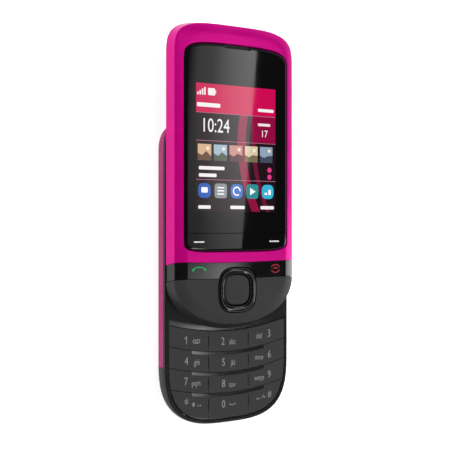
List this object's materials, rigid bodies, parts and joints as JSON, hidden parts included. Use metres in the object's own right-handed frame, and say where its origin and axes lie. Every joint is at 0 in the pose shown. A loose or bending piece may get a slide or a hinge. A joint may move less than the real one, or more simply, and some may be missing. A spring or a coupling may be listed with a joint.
{
  "type": "slider phone",
  "caption": "Slider phone shown open: a display half with a selection bar, call and end keys and a four-way ring slides on rails over a lower half with a number keypad.",
  "frame": {"origin": "on the surface the phone lies on, at the middle of the open phone's length and width", "axes": "+X to the right of the face, +Y to the top end of the phone, +Z out of the face"},
  "size_m": [0.0476, 0.1304, 0.0168],
  "materials": {
    "bezel_paint": "satin magenta lacquer on moulded plastic",
    "cover_paint": "satin magenta lacquer on moulded plastic",
    "gloss_black": "polished black plastic",
    "satin_black": "fine-textured black plastic",
    "key_grey": "soft-touch dark grey plastic",
    "window": "hard-coated black-backed clear acrylic over the display",
    "display": "display cell in a thin frame",
    "inner_plastic": "plain moulded plastic",
    "light_plastic": "natural plastic",
    "rubber_grey": "silicone rubber",
    "board_green": "solder-masked glass fibre board",
    "steel": "rolled stainless sheet",
    "contact_gold": "gold-flashed spring contact",
    "cell_wrap": "printed film wrap",
    "lens_glass": "coated glass",
    "spring_wire": "drawn spring wire",
    "flex_amber": "polyimide ribbon"
  },
  "bodies": {
    "base": {"front_housing": "satin_black", "end_cap": "satin_black", "chassis": "inner_plastic", "battery": "cell_wrap", "battery_contacts": "contact_gold", "main_board": "board_green", "shield_cans": "steel", "keypad_board": "board_green", "keypad_domes": "contact_gold", "keypad_mat": "rubber_grey", "rail_plate": "steel", "loudspeaker": "inner_plastic", "vibration_motor": "steel", "microphone": "steel", "camera_module": "inner_plastic", "camera_lens": "lens_glass", "sim_reader": "steel", "card_reader": "steel", "usb_socket": "steel", "audio_jack": "inner_plastic", "charger_jack": "inner_plastic", "antenna": "light_plastic", "lower_screws": "steel", "slide_springs": "spring_wire", "flex_cable": "flex_amber"},
    "cover": {"back_cover": "cover_paint"},
    "slider": {"front_bezel": "bezel_paint", "display_window": "window", "display_panel": "display", "display_frame": "inner_plastic", "rear_housing": "satin_black", "chin_cover": "key_grey", "slider_plate": "steel", "slide_shoes": "light_plastic", "earpiece": "steel", "earpiece_mesh": "satin_black", "upper_board": "board_green", "upper_domes": "contact_gold", "upper_screws": "steel"},
    "selection": {"selection_bar": "window"},
    "call": {"call_key": "gloss_black"},
    "end": {"end_key": "gloss_black"},
    "navi_tilt": {"navi_membrane": "rubber_grey"},
    "navi": {"navi_ring": "gloss_black"},
    "select": {"select_key": "key_grey"},
    "key_1": {"key_1": "key_grey"},
    "key_2": {"key_2": "key_grey"},
    "key_3": {"key_3": "key_grey"},
    "key_4": {"key_4": "key_grey"},
    "key_5": {"key_5": "key_grey"},
    "key_6": {"key_6": "key_grey"},
    "key_7": {"key_7": "key_grey"},
    "key_8": {"key_8": "key_grey"},
    "key_9": {"key_9": "key_grey"},
    "key_star": {"key_star": "key_grey"},
    "key_0": {"key_0": "key_grey"},
    "key_hash": {"key_hash": "key_grey"}
  },
  "joints": [
    {"name": "slide", "type": "slide", "parent": "base", "child": "slider", "axis": [0, -1, 0], "range_m": [0, 0.031], "deforming": ["slide_springs", "flex_cable"]},
    {"name": "cover_slide", "type": "slide", "parent": "base", "child": "cover", "axis": [0, 1, 0], "range_m": [0, 0.006]},
    {"name": "selection_rock", "type": "hinge", "parent": "slider", "child": "selection", "pos_m": [0, -0.006, 0.0153], "axis": [0, 1, 0], "range_deg": [-0.8, 0.8], "stiffness_Nm_per_rad": 0.4},
    {"name": "call_press", "type": "slide", "parent": "slider", "child": "call", "axis": [0, 0, -1], "range_m": [0, 0.0003], "stiffness_N_per_m": 1500, "springref_m": -0.0003},
    {"name": "end_press", "type": "slide", "parent": "slider", "child": "end", "axis": [0, 0, -1], "range_m": [0, 0.0003], "stiffness_N_per_m": 1500, "springref_m": -0.0003},
    {"name": "navi_tilt_up_down", "type": "hinge", "parent": "slider", "child": "navi_tilt", "pos_m": [0, -0.0214, 0.0136], "axis": [1, 0, 0], "range_deg": [-2, 2], "stiffness_Nm_per_rad": 0.1},
    {"name": "navi_tilt_left_right", "type": "hinge", "parent": "navi_tilt", "child": "navi", "pos_m": [0, -0.0214, 0.0136], "axis": [0, 1, 0], "range_deg": [-2, 2], "stiffness_Nm_per_rad": 0.1},
    {"name": "select_press", "type": "slide", "parent": "slider", "child": "select", "axis": [0, 0, -1], "range_m": [0, 0.0003], "stiffness_N_per_m": 1500, "springref_m": -0.0003},
    {"name": "key_1_press", "type": "slide", "parent": "base", "child": "key_1", "axis": [0, 0, -1], "range_m": [0, 0.0003], "stiffness_N_per_m": 1500, "springref_m": -0.0003},
    {"name": "key_2_press", "type": "slide", "parent": "base", "child": "key_2", "axis": [0, 0, -1], "range_m": [0, 0.0003], "stiffness_N_per_m": 1500, "springref_m": -0.0003},
    {"name": "key_3_press", "type": "slide", "parent": "base", "child": "key_3", "axis": [0, 0, -1], "range_m": [0, 0.0003], "stiffness_N_per_m": 1500, "springref_m": -0.0003},
    {"name": "key_4_press", "type": "slide", "parent": "base", "child": "key_4", "axis": [0, 0, -1], "range_m": [0, 0.0003], "stiffness_N_per_m": 1500, "springref_m": -0.0003},
    {"name": "key_5_press", "type": "slide", "parent": "base", "child": "key_5", "axis": [0, 0, -1], "range_m": [0, 0.0003], "stiffness_N_per_m": 1500, "springref_m": -0.0003},
    {"name": "key_6_press", "type": "slide", "parent": "base", "child": "key_6", "axis": [0, 0, -1], "range_m": [0, 0.0003], "stiffness_N_per_m": 1500, "springref_m": -0.0003},
    {"name": "key_7_press", "type": "slide", "parent": "base", "child": "key_7", "axis": [0, 0, -1], "range_m": [0, 0.0003], "stiffness_N_per_m": 1500, "springref_m": -0.0003},
    {"name": "key_8_press", "type": "slide", "parent": "base", "child": "key_8", "axis": [0, 0, -1], "range_m": [0, 0.0003], "stiffness_N_per_m": 1500, "springref_m": -0.0003},
    {"name": "key_9_press", "type": "slide", "parent": "base", "child": "key_9", "axis": [0, 0, -1], "range_m": [0, 0.0003], "stiffness_N_per_m": 1500, "springref_m": -0.0003},
    {"name": "key_star_press", "type": "slide", "parent": "base", "child": "key_star", "axis": [0, 0, -1], "range_m": [0, 0.0003], "stiffness_N_per_m": 1500, "springref_m": -0.0003},
    {"name": "key_0_press", "type": "slide", "parent": "base", "child": "key_0", "axis": [0, 0, -1], "range_m": [0, 0.0003], "stiffness_N_per_m": 1500, "springref_m": -0.0003},
    {"name": "key_hash_press", "type": "slide", "parent": "base", "child": "key_hash", "axis": [0, 0, -1], "range_m": [0, 0.0003], "stiffness_N_per_m": 1500, "springref_m": -0.0003}
  ]
}
